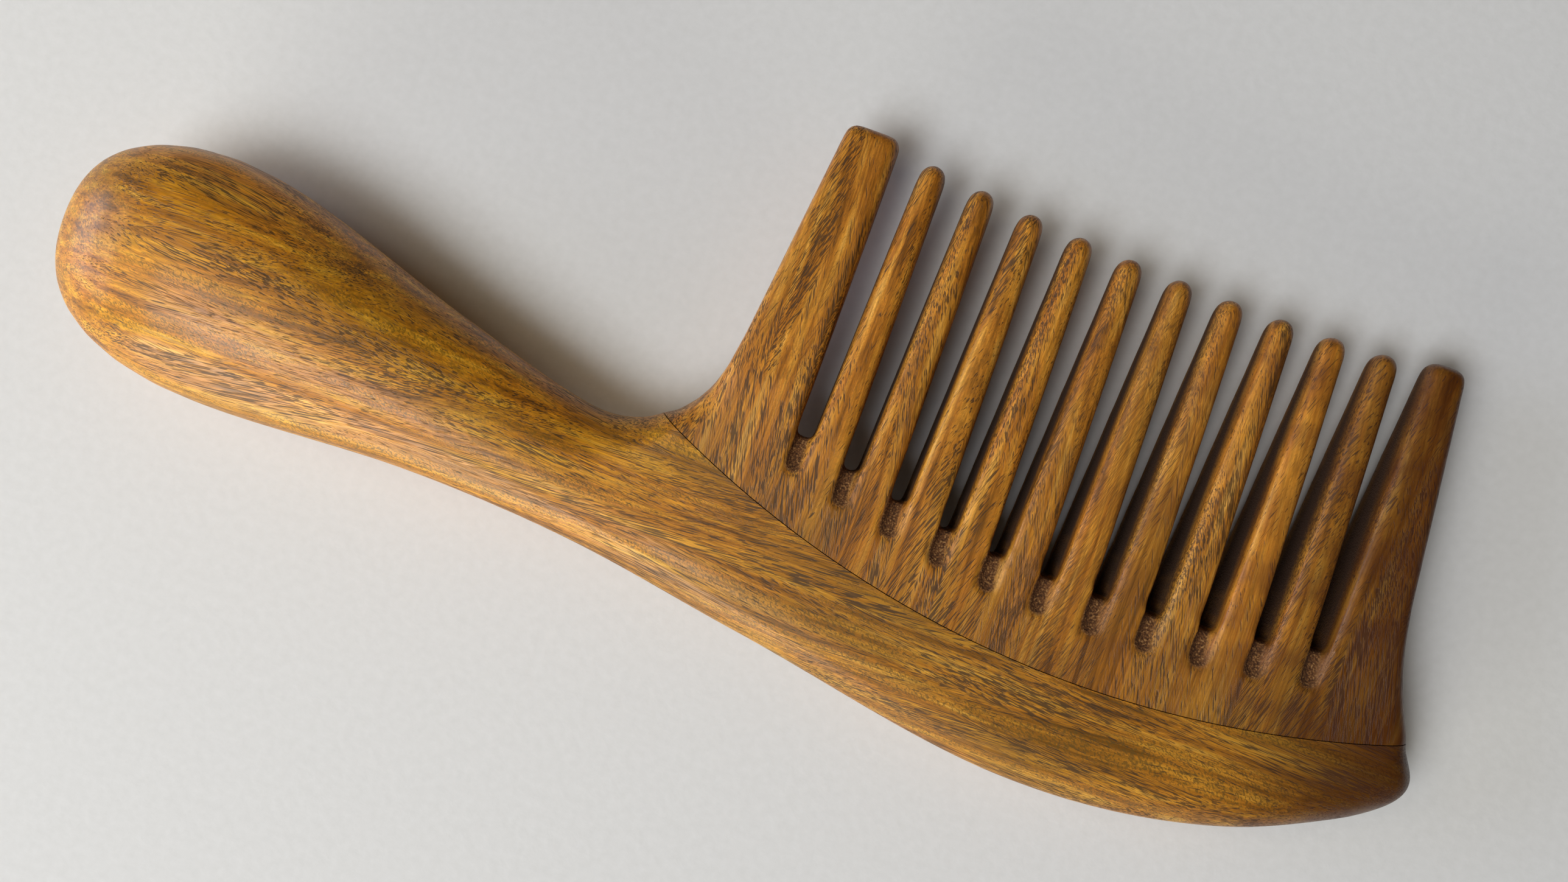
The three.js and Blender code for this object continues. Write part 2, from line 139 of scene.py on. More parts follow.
camera_data = bpy.data.cameras.new("comb_camera")
camera_data.sensor_fit = "HORIZONTAL"
camera_data.sensor_width = SENSOR_WIDTH
camera_data.lens = SENSOR_WIDTH * FOCAL_PIXELS / IMAGE_WIDTH
camera_data.clip_start = NEAR_CLIP
camera = bpy.data.objects.new("comb_camera", camera_data)
bpy.context.scene.collection.objects.link(camera)
camera.location = lay_down @ CAMERA_PLACE
camera.rotation_euler = (Matrix.Rotation(tip_angle, 3, "Y")
                         @ Matrix.Rotation(CAMERA_TURN, 3, "Z")).to_euler()
bpy.context.scene.camera = camera
print("lens", round(camera_data.lens, 2), "mm, camera at", [round(c, 4) for c in camera.location])

# %% [markdown]
# ## Vessel lines
# The wood is verawood, which comb sellers often call green sandalwood: an oily tropical hardwood,
# golden orange and crossed by short dark brown dashes. Each dash is a vessel, a tube of the
# living tree, cut open by the surface. The dashes could be painted on, but vessels run through
# the whole block: a dash on a flat face has to turn into a dot on an end. So the texture is
# solid. A noise is stretched along the grain and only its peaks are kept, which gives dashes with
# ragged ends. Where a second, longer noise passes through its middle value it draws the fine
# hairs that link them. A lower level keeps more of the peaks, and darker hairs.

# %% Vessel lines, part one: dashes
DASH_EDGE = 0.05  # step of the noise over which a dash fades out

vessel_lines = bpy.data.node_groups.new("vessel_lines", "ShaderNodeTree")
for name, kind in [("Grain place", "NodeSocketVector"), ("Length", "NodeSocketFloat"),
                   ("Width", "NodeSocketFloat"), ("Slant", "NodeSocketFloat"),
                   ("Level", "NodeSocketFloat")]:
    vessel_lines.interface.new_socket(name, in_out="INPUT", socket_type=kind)
vessel_lines.interface.new_socket("Line", in_out="OUTPUT", socket_type="NodeSocketFloat")

asked = add_node(vessel_lines, "NodeGroupInput").outputs
turned = add_node(vessel_lines, "ShaderNodeVectorRotate", {
    "Vector": asked["Grain place"], "Angle": asked["Slant"]}, rotation_type="Z_AXIS")
cell = add_node(vessel_lines, "ShaderNodeCombineXYZ", {
    "X": asked["Length"], "Y": asked["Width"], "Z": asked["Width"]})
cells = add_node(vessel_lines, "ShaderNodeVectorMath", {0: turned, 1: cell}, operation="DIVIDE")
peaks = add_node(vessel_lines, "ShaderNodeTexNoise", {
    "Vector": cells, "Scale": 1.0, "Detail": 1.5})
full = add_node(vessel_lines, "ShaderNodeMath", {0: asked["Level"], 1: DASH_EDGE},
                operation="ADD")
dash = add_node(vessel_lines, "ShaderNodeMapRange", {
    "Value": peaks, "From Min": asked["Level"], "From Max": full},
    interpolation_type="SMOOTHSTEP")
print("dashes:", len(vessel_lines.nodes), "nodes")

# %% Vessel lines, part two: hairs
HAIR_CLOSENESS = (0.4, 0.6, 0.6)  # hairs are longer than the dashes and lie further apart
NOISE_MIDDLE = 0.5
HAIR_EDGE = 0.04  # step of the noise over which a hair fades out

long_cells = add_node(vessel_lines, "ShaderNodeVectorMath", {0: cells, 1: HAIR_CLOSENESS},
                      operation="MULTIPLY")
long_noise = add_node(vessel_lines, "ShaderNodeTexNoise", {
    "Vector": long_cells, "Scale": 1.0, "Detail": 1.0})
off_middle = add_node(vessel_lines, "ShaderNodeMath", {0: long_noise, 1: NOISE_MIDDLE},
                      operation="SUBTRACT")
far = add_node(vessel_lines, "ShaderNodeMath", {0: off_middle}, operation="ABSOLUTE")
dark_hair = add_node(vessel_lines, "ShaderNodeMapRange", {
    "Value": asked["Level"], "From Min": 0.64, "From Max": 0.48, "To Min": 0.15, "To Max": 0.95})
hair = add_node(vessel_lines, "ShaderNodeMapRange", {
    "Value": far, "From Min": 0.0, "From Max": HAIR_EDGE, "To Min": dark_hair, "To Max": 0.0})
both = add_node(vessel_lines, "ShaderNodeMath", {0: dash, 1: hair}, operation="MAXIMUM")
add_node(vessel_lines, "NodeGroupOutput", {"Line": both})
print("vessel lines:", len(vessel_lines.nodes), "nodes")

# %% [markdown]
# ## Verawood
# The grain of this wood is interlocked: layers of it spiral up the trunk in turn to the left and
# to the right. On a flat face that gives bands a few millimetres wide whose dashes slant one way
# and then the other, like a feather. Dashes with a single slant would look combed, so the group
# below mixes two slants by a slow noise across the grain. Under the dashes lies the ground colour:
# streaks about a millimetre wide, fibres, patches of olive, and places where the dashes curl up
# small. Real fibres are a few hundredths of a millimetre wide, too fine to see, so they are drawn
# coarser, as bundles a quarter of a millimetre wide.

# %% Wood, part one: bands and dashes
# Sizes in millimetres: along the grain, across it and through the thickness
WAVE_CELL, WAVE_SWAY = (60, 11, 11), (0, 4, 4)
BAND_LENGTH = 80.0
OTHER_SLANT = -0.85  # the other way, and a little less steep

verawood = bpy.data.node_groups.new("verawood", "ShaderNodeTree")
for name, kind in [("Grain place", "NodeSocketVector"), ("Band width", "NodeSocketFloat"),
                   ("Slant", "NodeSocketFloat"), ("Line length", "NodeSocketFloat"),
                   ("Line width", "NodeSocketFloat"), ("Level", "NodeSocketFloat"),
                   ("Curl", "NodeSocketFloat")]:
    verawood.interface.new_socket(name, in_out="INPUT", socket_type=kind)
verawood.interface.new_socket("Colour", in_out="OUTPUT", socket_type="NodeSocketColor")
verawood.interface.new_socket("Line", in_out="OUTPUT", socket_type="NodeSocketFloat")

asked = add_node(verawood, "NodeGroupInput").outputs
wave_cells = add_node(verawood, "ShaderNodeVectorMath", {
    0: asked["Grain place"], 1: WAVE_CELL}, operation="DIVIDE")
wave = add_node(verawood, "ShaderNodeTexNoise", {
    "Vector": wave_cells, "Scale": 1.0, "Detail": 1.0})
wavy = add_node(verawood, "ShaderNodeVectorMath", {
    0: wave.outputs["Color"], 1: WAVE_SWAY, 2: asked["Grain place"]}, operation="MULTIPLY_ADD")

band_cell = add_node(verawood, "ShaderNodeCombineXYZ", {
    "X": BAND_LENGTH, "Y": asked["Band width"], "Z": asked["Band width"]})
band_cells = add_node(verawood, "ShaderNodeVectorMath", {0: wavy, 1: band_cell},
                      operation="DIVIDE")
band = add_node(verawood, "ShaderNodeTexNoise", {
    "Vector": band_cells, "Scale": 1.0, "Detail": 1.0})
flip = add_node(verawood, "ShaderNodeMapRange", {
    "Value": band, "From Min": 0.485, "From Max": 0.515}, interpolation_type="SMOOTHSTEP")
zone = add_node(verawood, "ShaderNodeTexNoise", {
    "Vector": band_cells, "Scale": 1.7, "Detail": 2.0})
thicker = add_node(verawood, "ShaderNodeMapRange", {
    "Value": zone, "From Min": 0.36, "From Max": 0.64, "To Min": 0.11, "To Max": -0.05})
level = add_node(verawood, "ShaderNodeMath", {0: thicker, 1: asked["Level"]}, operation="ADD")
other_slant = add_node(verawood, "ShaderNodeMath", {0: asked["Slant"], 1: OTHER_SLANT},
                       operation="MULTIPLY")
one_way, other_way = (add_node(verawood, "ShaderNodeGroup", {
    "Grain place": wavy, "Length": asked["Line length"], "Width": asked["Line width"],
    "Slant": slant, "Level": level}, node_tree=vessel_lines)
    for slant in (asked["Slant"], other_slant))
lines = add_node(verawood, "ShaderNodeMix", {0: flip, 2: one_way, 3: other_way})
print("verawood so far:", len(verawood.nodes), "nodes")

# %% Wood, part two: ground colour
noises = {}
for name, cell_size, detail, roughness in (
        ("streak", (40, 1.3, 1.3), 4.0, 0.6), ("tone", (28, 8, 8), 2.0, 0.5),
        ("fibre", (9, 0.24, 0.24), 2.0, 0.5)):
    cells = add_node(verawood, "ShaderNodeVectorMath", {0: wavy, 1: cell_size},
                     operation="DIVIDE")
    noises[name] = add_node(verawood, "ShaderNodeTexNoise", {
        "Vector": cells, "Scale": 1.0, "Detail": detail, "Roughness": roughness})

ground = add_node(verawood, "ShaderNodeValToRGB", {"Fac": noises["streak"]})
stops = ground.color_ramp.elements
stops[0].position, stops[0].color = 0.32, linear("#7e5212")
stops[1].position, stops[1].color = 0.7, linear("#e2b040")
stops.new(0.45).color = linear("#b87b1e")
stops.new(0.58).color = linear("#cf962a")

olive_share = add_node(verawood, "ShaderNodeMapRange", {
    "Value": noises["tone"], "From Min": 0.42, "From Max": 0.68, "To Max": 0.38})
olive = add_node(verawood, "ShaderNodeMix", {
    0: olive_share, 6: ground, 7: linear("#7d601c")}, data_type="RGBA")
red_share = add_node(verawood, "ShaderNodeMapRange", {
    "Value": noises["tone"], "From Min": 0.46, "From Max": 0.34, "To Max": 0.2})
warm = add_node(verawood, "ShaderNodeMix", {
    0: red_share, 6: olive.outputs[2], 7: linear("#b8761c")}, data_type="RGBA")

shade = add_node(verawood, "ShaderNodeMapRange", {
    "Value": noises["fibre"], "From Min": 0.28, "From Max": 0.72,
    "To Min": 0.66, "To Max": 1.34})
fibred = add_node(verawood, "ShaderNodeVectorMath", {0: warm.outputs[2], "Scale": shade},
                  operation="SCALE")
print("ground colour:", len(verawood.nodes), "nodes so far")

# %% Wood, part three: curls and dashes over the ground
LINE_STRENGTH = 0.82  # how much of the ground a dash covers

curls = add_node(verawood, "ShaderNodeGroup", {
    "Grain place": wavy, "Length": 0.45, "Width": 0.22, "Slant": 0.5, "Level": 0.52},
    node_tree=vessel_lines)
curl_zone = add_node(verawood, "ShaderNodeMapRange", {
    "Value": zone, "From Min": 0.5, "From Max": 0.4})
curl_part = add_node(verawood, "ShaderNodeMath", {0: curl_zone, 1: asked["Curl"]},
                     operation="MULTIPLY")
curl_share = add_node(verawood, "ShaderNodeMath", {0: curls, 1: curl_part}, operation="MULTIPLY")
curled = add_node(verawood, "ShaderNodeMix", {
    0: curl_share, 6: fibred, 7: linear("#6a5420")}, data_type="RGBA")
line_share = add_node(verawood, "ShaderNodeMath", {0: lines, 1: LINE_STRENGTH},
                      operation="MULTIPLY")
lined = add_node(verawood, "ShaderNodeMix", {
    0: line_share, 6: curled.outputs[2], 7: linear("#38290f")}, data_type="RGBA")
add_node(verawood, "NodeGroupOutput", {"Colour": lined.outputs[2], "Line": lines})
print("verawood:", len(verawood.nodes), "nodes")

# %% [markdown]
# ## Back and handle: grain along the handle
# The back is cut with its grain along the handle, so the bands run from the bulb to the nose. It
# was shaped, sanded fine and waxed, which leaves a satin gloss. The dashes are up to 4 mm long and
# about 0.15 mm wide: fewest at the end of the bulb, where the grain ends, and most along the back.
# The bulb is more golden; the nose is darker, partly its own wood and partly painted shade. The
# open vessels are small hollows with less gloss. A second wood would have to be matched to the
# first, so the group above serves the whole comb, and only what changes along the handle is set
# here.

# %% Wood of the back, part one: where the dashes lie
def new_material(name, ior):
    material = bpy.data.materials.new(name)
    material.use_nodes = True
    shader = material.node_tree.nodes["Principled BSDF"]
    shader.inputs["IOR"].default_value = ior
    return material, material.node_tree, shader


WAX_IOR = 1.48

back_wood, tree, shader = new_material("verawood_long_grain_waxed", WAX_IOR)
where = add_node(tree, "ShaderNodeTexCoord")
millimetres = add_node(tree, "ShaderNodeMapping", {
    "Vector": where.outputs["Object"], "Scale": (1000, 1000, 1000)})
spot = add_node(tree, "ShaderNodeSeparateXYZ", {0: millimetres})
more_on_back = add_node(tree, "ShaderNodeMapRange", {
    "Value": spot.outputs["X"], "From Min": -45.0, "From Max": -5.0,
    "To Min": 0.55, "To Max": 0.52})
fewer_at_end = add_node(tree, "ShaderNodeMapRange", {
    "Value": spot.outputs["X"], "From Min": -75.0, "From Max": -97.0, "To Min": more_on_back,
    "To Max": 0.61})
wood = add_node(tree, "ShaderNodeGroup", {
    "Grain place": millimetres, "Band width": 5.5, "Slant": math.radians(6), "Line length": 4.0,
    "Line width": 0.15, "Level": fewer_at_end, "Curl": 0.7}, node_tree=verawood)
print("back wood so far:", len(tree.nodes), "nodes")

# %% Wood of the back, part two: tints and gloss
WAX_GLOSS, VESSEL_GLOSS = 0.34, 0.52  # roughness of the waxed face and of the open vessels
VESSEL_DEPTH = 0.00006
BULB_TINT, BACK_TINT = (1.25, 1.11, 0.74), (0.94, 0.87, 1.08)  # factors of red, green and blue

# painted shade: the nose is darkened, partly its own darker wood and partly shade of the end that
# the light reaches less
nose_dark_and_shade = add_node(tree, "ShaderNodeMapRange", {
    "Value": spot.outputs["X"], "From Min": 70.0, "From Max": 93.0, "To Max": 0.88},
    interpolation_type="SMOOTHSTEP")
from_bulb = add_node(tree, "ShaderNodeMapRange", {
    "Value": spot.outputs["X"], "From Min": -40.0, "From Max": 40.0},
    interpolation_type="SMOOTHSTEP")
golden = add_node(tree, "ShaderNodeMix", {
    "Factor": from_bulb, 4: BULB_TINT, 5: BACK_TINT}, data_type="VECTOR")
pale = add_node(tree, "ShaderNodeVectorMath", {0: wood.outputs["Colour"], 1: golden.outputs[1]},
                operation="MULTIPLY")
colour = add_node(tree, "ShaderNodeMix", {
    0: nose_dark_and_shade, 6: pale, 7: linear("#42200a")}, data_type="RGBA")
gloss = add_node(tree, "ShaderNodeMapRange", {
    "Value": wood.outputs["Line"], "To Min": WAX_GLOSS, "To Max": VESSEL_GLOSS})
hollow = add_node(tree, "ShaderNodeBump", {
    "Height": wood.outputs["Line"], "Strength": 0.4, "Distance": VESSEL_DEPTH}, invert=True)
tree.links.new(colour.outputs[2], shader.inputs["Base Color"])
tree.links.new(gloss.outputs[0], shader.inputs["Roughness"])
tree.links.new(hollow.outputs[0], shader.inputs["Normal"])
print("back wood:", len(tree.nodes), "nodes")

# %% [markdown]
# ## Board: grain along the teeth
# Teeth cut across the grain would snap, so the board's grain stands along them. Its left half has
# a coarse feather. Towards the right the dashes turn into fine hairlines, brown patches cross the
# grain, and the far end is redder and darker, partly its own wood and partly painted shade. The
# root is darker too, and the teeth grow darker towards the tips. The walls and ends of the gaps
# were only sawn, so they are dark and rough, with pale specks of torn fibre; the walls are darkened
# further with painted shade that deepens under the face. Values stored on the mesh say where. The
# group of the wood is used twice, for the feather and for the hairlines, and a ramp along the row
# fades from one to the other.

# %% Wood of the board, part one: feather and hairlines
board_wood, tree, shader = new_material("verawood_feather_grain_waxed", WAX_IOR)
where = add_node(tree, "ShaderNodeTexCoord")
millimetres = add_node(tree, "ShaderNodeMapping", {
    "Vector": where.outputs["Object"], "Scale": (1000, 1000, 1000)})
upright = add_node(tree, "ShaderNodeMapping", {
    "Vector": millimetres, "Rotation": (0, 0, math.radians(-90))})
feather = add_node(tree, "ShaderNodeGroup", {
    "Grain place": upright, "Band width": 5.0, "Slant": math.radians(17), "Line length": 3.4,
    "Line width": 0.18, "Level": 0.525, "Curl": 0.2}, node_tree=verawood)
hairline = add_node(tree, "ShaderNodeGroup", {
    "Grain place": upright, "Band width": 9.0, "Slant": math.radians(20), "Line length": 3.6,
    "Line width": 0.16, "Level": 0.52, "Curl": 0.1}, node_tree=verawood)
spot = add_node(tree, "ShaderNodeSeparateXYZ", {0: millimetres})
right_share = add_node(tree, "ShaderNodeMapRange", {
    "Value": spot.outputs["X"], "From Min": 30.0, "From Max": 62.0},
    interpolation_type="SMOOTHSTEP")
both = add_node(tree, "ShaderNodeMix", {
    0: right_share, 6: feather.outputs["Colour"], 7: hairline.outputs["Colour"]},
    data_type="RGBA")
lines = add_node(tree, "ShaderNodeMix", {
    0: right_share, 2: feather.outputs["Line"], 3: hairline.outputs["Line"]})
print("feather and hairlines:", len(tree.nodes), "nodes")

# %% Wood of the board, part two: patches, root, tips and far end
PATCH_CELL = (11, 6, 9)  # millimetres along the row, along the teeth and through the thickness
LEFT_TINT, RIGHT_TINT = (1.1, 0.95, 1.35), (1.06, 0.94, 1.45)

patch_cells = add_node(tree, "ShaderNodeVectorMath", {0: millimetres, 1: PATCH_CELL},
                       operation="DIVIDE")
patches = add_node(tree, "ShaderNodeTexNoise", {
    "Vector": patch_cells, "Scale": 1.0, "Detail": 2.0})
patch_share = add_node(tree, "ShaderNodeMapRange", {
    "Value": patches, "From Min": 0.42, "From Max": 0.66, "To Max": 0.5})
brown_share = add_node(tree, "ShaderNodeMath", {0: patch_share, 1: right_share},
                       operation="MULTIPLY")
patched = add_node(tree, "ShaderNodeMix", {
    0: brown_share, 6: both.outputs[2], 7: linear("#6b4119")}, data_type="RGBA")
# painted shade: the far end is darkened, partly its own redder wood and partly shade of the end that
# the light reaches less
end_dark_and_shade = add_node(tree, "ShaderNodeMapRange", {
    "Value": spot.outputs["X"], "From Min": 66.0, "From Max": 91.0, "To Max": 0.82},
    interpolation_type="SMOOTHSTEP")
tint = add_node(tree, "ShaderNodeMix", {
    "Factor": right_share, 4: LEFT_TINT, 5: RIGHT_TINT}, data_type="VECTOR")
browner = add_node(tree, "ShaderNodeVectorMath", {0: patched.outputs[2], 1: tint.outputs[1]},
                   operation="MULTIPLY")
darker_root = add_node(tree, "ShaderNodeMapRange", {
    "Value": spot.outputs["Y"], "From Min": -20.0, "From Max": -5.0,
    "To Min": 0.76, "To Max": 1.04})
darker_tips = add_node(tree, "ShaderNodeMapRange", {
    "Value": spot.outputs["Y"], "From Min": 18.0, "From Max": 37.0, "To Min": 1.0, "To Max": 0.8})
darker = add_node(tree, "ShaderNodeMath", {0: darker_root, 1: darker_tips}, operation="MULTIPLY")
handled = add_node(tree, "ShaderNodeVectorMath", {0: browner, "Scale": darker}, operation="SCALE")
end_reddened_and_shaded = add_node(tree, "ShaderNodeMix", {
    0: end_dark_and_shade, 6: handled, 7: linear("#3f1a06")}, data_type="RGBA")
print("board wood so far:", len(tree.nodes), "nodes")

# %% Wood of the board, part three: sawn walls and gap ends
BOARD_GLOSS, BOARD_VESSEL_GLOSS, SAWN_ROUGHNESS = 0.36, 0.55, 0.95
TORN_CELL, TORN_DEPTH = (0.28, 0.28, 0.28), 0.0003

torn_cells = add_node(tree, "ShaderNodeVectorMath", {0: millimetres, 1: TORN_CELL},
                      operation="DIVIDE")
torn = add_node(tree, "ShaderNodeTexNoise", {"Vector": torn_cells, "Scale": 1.0, "Detail": 3.0})
torn_colour = add_node(tree, "ShaderNodeValToRGB", {"Fac": torn})
stops = torn_colour.color_ramp.elements
stops[0].position, stops[0].color = 0.36, linear("#432812")
stops[1].position, stops[1].color = 0.7, linear("#b48a55")
stops.new(0.56).color = linear("#744a26")
gap_end = add_node(tree, "ShaderNodeAttribute", attribute_name="gap_end")
gap_wall = add_node(tree, "ShaderNodeAttribute", attribute_name="gap_wall")
# painted shade: the gap walls are mixed to dark brown, darkest deep under the face; partly the sawn
# wood's own darker colour
shaded_walls = add_node(tree, "ShaderNodeMix", {
    0: gap_wall.outputs["Fac"], 6: end_reddened_and_shaded.outputs[2], 7: linear("#402611")}, data_type="RGBA")
colour = add_node(tree, "ShaderNodeMix", {
    0: gap_end.outputs["Fac"], 6: shaded_walls.outputs[2], 7: torn_colour}, data_type="RGBA")
sawn = add_node(tree, "ShaderNodeMath", {
    0: gap_end.outputs["Fac"], 1: gap_wall.outputs["Fac"]}, operation="MAXIMUM")
gloss = add_node(tree, "ShaderNodeMapRange", {
    "Value": lines, "To Min": BOARD_GLOSS, "To Max": BOARD_VESSEL_GLOSS})
dull = add_node(tree, "ShaderNodeMix", {0: sawn, 2: gloss, 3: SAWN_ROUGHNESS})
hollow = add_node(tree, "ShaderNodeBump", {
    "Height": lines, "Strength": 0.4, "Distance": VESSEL_DEPTH}, invert=True)
torn_depth = add_node(tree, "ShaderNodeMath", {0: torn, 1: sawn}, operation="MULTIPLY")
rough_wall = add_node(tree, "ShaderNodeBump", {
    "Height": torn_depth, "Strength": 0.6, "Distance": TORN_DEPTH, "Normal": hollow})
tree.links.new(colour.outputs[2], shader.inputs["Base Color"])
tree.links.new(dull.outputs[0], shader.inputs["Roughness"])
tree.links.new(rough_wall.outputs[0], shader.inputs["Normal"])
print("board wood:", len(tree.nodes), "nodes")

# %% [markdown]
# ## One blank from two pieces
# A maker glues the back and the board together first and sands them afterwards, so one smooth
# surface runs over the joint. The lesson does the same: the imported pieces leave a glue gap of 0.3
# mm, so the joint face of the back is pushed into the board to close it, and the joint line is cut
# again after sanding. The thin teeth are sawn off here because the next step makes finer ones.

# %% Close the joint
JOINT_CENTRE = Vector((7.0, 142.0))
JOINT_RADIUS = 142.0
JOINT_GAP = 0.3
ON_FACE = 0.03  # a point this close to the joint face belongs to it


def mesh_from(name, shape):
    mesh = bpy.data.meshes.new(name)
    shape.to_mesh(mesh)
    shape.free()
    return mesh


pushed = 0
for vert in back.verts:
    out = vert.co.xy - JOINT_CENTRE
    if abs(out.length - JOINT_RADIUS - JOINT_GAP / 2) < ON_FACE:
        out.length -= 2 * JOINT_GAP
        vert.co.xy = JOINT_CENTRE + out
        pushed += 1
back_mesh = mesh_from("back", back)
print("points pushed into the joint:", pushed)

# %% A saw as wide as the row
TEETH = 10
PITCH = 7.5
GAP_END_RADIUS, GAP_END_LOW_X, GAP_END_HEIGHT = 143.7, 6.5, 6.7  # arc of the ends of the gaps
SCOOP_LENGTH = 5.2
FOOT_HEIGHT = GAP_END_HEIGHT + SCOOP_LENGTH  # each gap goes straight through above this height
FOOT_STUB = 2.0  # what the saw leaves of each tooth above that
SAW_TOP, SAW_HALF, SAW_STEPS = 75.0, 20.0, 60


def new_object(name, mesh):
    made = bpy.data.objects.new(name, mesh)
    bpy.context.scene.collection.objects.link(made)
    return made


row_half = TEETH * PITCH / 2
outline = [(row_half, SAW_TOP), (-row_half, SAW_TOP)]
for x in np.linspace(-row_half, row_half, SAW_STEPS):
    drop = math.sqrt(GAP_END_RADIUS ** 2 - (x - GAP_END_LOW_X) ** 2)
    outline.append((x, FOOT_HEIGHT + GAP_END_RADIUS - drop + FOOT_STUB))
shape = bmesh.new()
shape.faces.new([shape.verts.new((x, y, -SAW_HALF)) for x, y in outline])
raised = bmesh.ops.extrude_face_region(shape, geom=shape.faces[:])["geom"]
bmesh.ops.translate(shape, vec=(0, 0, 2 * SAW_HALF),
                    verts=[part for part in raised if isinstance(part, bmesh.types.BMVert)])
bmesh.ops.recalc_face_normals(shape, faces=shape.faces)
saw = new_object("saw", mesh_from("saw", shape))
print("saw:", len(saw.data.polygons), "faces")

# %% Saw off the thin teeth
def bake(source):
    depsgraph = bpy.context.evaluated_depsgraph_get()
    mesh = bpy.data.meshes.new_from_object(source.evaluated_get(depsgraph), depsgraph=depsgraph)
    bpy.data.objects.remove(source)
    return mesh


stub_board = new_object("stub_board", mesh_from("stub_board", board))
cut = stub_board.modifiers.new("saw", "BOOLEAN")
cut.operation, cut.solver, cut.object = "DIFFERENCE", "MANIFOLD", saw
stub_mesh = bake(stub_board)
bpy.data.objects.remove(saw)
print("stub board:", len(stub_mesh.vertices), "points")

# %% [markdown]
# ## The row of thin teeth
# Ten equal teeth stand between the two broad guard teeth. Each has crisp edges at its foot, then
# thins to less than half its thickness and rounds off like a fingertip. One tooth is lofted from
# rounded rectangles, with a height of 1. A Geometry Nodes tree then sets it out along the row: a
# line of points at the tooth pitch, feet on one arc, tips on another, and a slight lean. Change an
# input and the whole row follows, which copied meshes would not do.

# %% Outline of a tooth at one height
CORNER_DEPTH = 1.25  # depth of a rounded corner over its width
CORNER_LIMIT = 0.97  # share of half a side that a corner may take up
CORNER_STEPS = 6


def tooth_ring(height, half_width, half_thick, corner):
    depth = min(CORNER_DEPTH * corner, CORNER_LIMIT * half_thick)
    corner = min(corner, CORNER_LIMIT * half_width)
    ring = []
    for quarter, (side, face) in enumerate([(1, 1), (-1, 1), (-1, -1), (1, -1)]):
        for step in range(CORNER_STEPS + 1):
            angle = (quarter + step / CORNER_STEPS) * math.pi / 2
            ring.append((side * (half_width - corner) + corner * math.cos(angle), height,
                         face * (half_thick - depth) + depth * math.sin(angle)))
    return ring


print("points of an outline:", len(tooth_ring(0, 1, 1, 0.5)))

# %% Outlines from foot to tip
TOOTH_LENGTH = 45.0  # of a middling tooth, for the shares along it
FOOT_WIDTH, TIP_WIDTH = 4.9, 3.8
TIP_THICKNESS = 4.6
TAPER_START, TAPER_POWER = 0.06, 1.2
FOOT_CORNER, SHAFT_CORNER, TIP_CORNER = 0.35, 1.1, 1.75
SHAFT_START = 0.4  # share of the taper over which the edges lose their sharpness
SHAFT_RINGS = 28
TIP_ANGLES = np.radians([15, 30, 43, 55, 66, 75, 82, 87])


def ease(share, start, end):
    t = np.clip((share - start) / (end - start), 0, 1)
    return t * t * (3 - 2 * t)


rings = []
tip_share = TIP_WIDTH / 2 / TOOTH_LENGTH
for share in np.linspace(0, 1 - tip_share, SHAFT_RINGS):
    taper = max((share - TAPER_START) / (1 - TAPER_START), 0)
    width = FOOT_WIDTH + (TIP_WIDTH - FOOT_WIDTH) * taper ** TAPER_POWER
    thick = BOARD_THICKNESS + (TIP_THICKNESS - BOARD_THICKNESS) * taper
    corner = FOOT_CORNER + (SHAFT_CORNER - FOOT_CORNER) * ease(taper, 0, SHAFT_START)
    corner += (TIP_CORNER - SHAFT_CORNER) * ease(taper, SHAFT_START, 1)
    rings.append(tooth_ring(share, width / 2, thick / 2, corner))
for angle in TIP_ANGLES:
    closing = math.cos(angle)
    rings.append(tooth_ring(1 - tip_share + tip_share * math.sin(angle), TIP_WIDTH / 2 * closing,
                            TIP_THICKNESS / 2 * closing, TIP_CORNER * closing))
print("outlines:", len(rings))

# %% Loft one tooth
shape = bmesh.new()
loops = [[shape.verts.new(point) for point in ring] for ring in rings]
for low, high in zip(loops, loops[1:]):
    for i in range(len(low)):
        j = (i + 1) % len(low)
        shape.faces.new((low[i], low[j], high[j], high[i]))
shape.faces.new(loops[0])
shape.faces.new(loops[-1])
bmesh.ops.recalc_face_normals(shape, faces=shape.faces)
tooth = new_object("one_tooth", mesh_from("one_tooth", shape))
print("one tooth:", len(tooth.data.polygons), "faces")

# %% Inputs of the row
TIP_RADIUS, TIP_LOW_X, TIP_HEIGHT = 400.0, 19.0, 56.9
FOOT_OVERLAP = 1.5  # how far a tooth reaches down into its stub
LEAN, LEAN_PIVOT = 0.019, 41.0

row_tree = bpy.data.node_groups.new("tooth_row", "GeometryNodeTree")
row_inputs = {}
for name, kind, value in [
        ("Teeth", "NodeSocketInt", TEETH), ("Pitch", "NodeSocketFloat", PITCH),
        ("Foot radius", "NodeSocketFloat", GAP_END_RADIUS),
        ("Foot low X", "NodeSocketFloat", GAP_END_LOW_X),
        ("Foot height", "NodeSocketFloat", FOOT_HEIGHT + FOOT_STUB - FOOT_OVERLAP),
        ("Tip radius", "NodeSocketFloat", TIP_RADIUS),
        ("Tip low X", "NodeSocketFloat", TIP_LOW_X),
        ("Tip height", "NodeSocketFloat", TIP_HEIGHT),
        ("Lean", "NodeSocketFloat", LEAN), ("Lean pivot", "NodeSocketFloat", LEAN_PIVOT),
        ("Tooth", "NodeSocketObject", tooth), ("Wood", "NodeSocketMaterial", board_wood)]:
    socket = row_tree.interface.new_socket(name, in_out="INPUT", socket_type=kind)
    row_inputs[socket.identifier] = value
row_tree.interface.new_socket("Geometry", in_out="OUTPUT", socket_type="NodeSocketGeometry")
print("row inputs:", len(row_inputs))

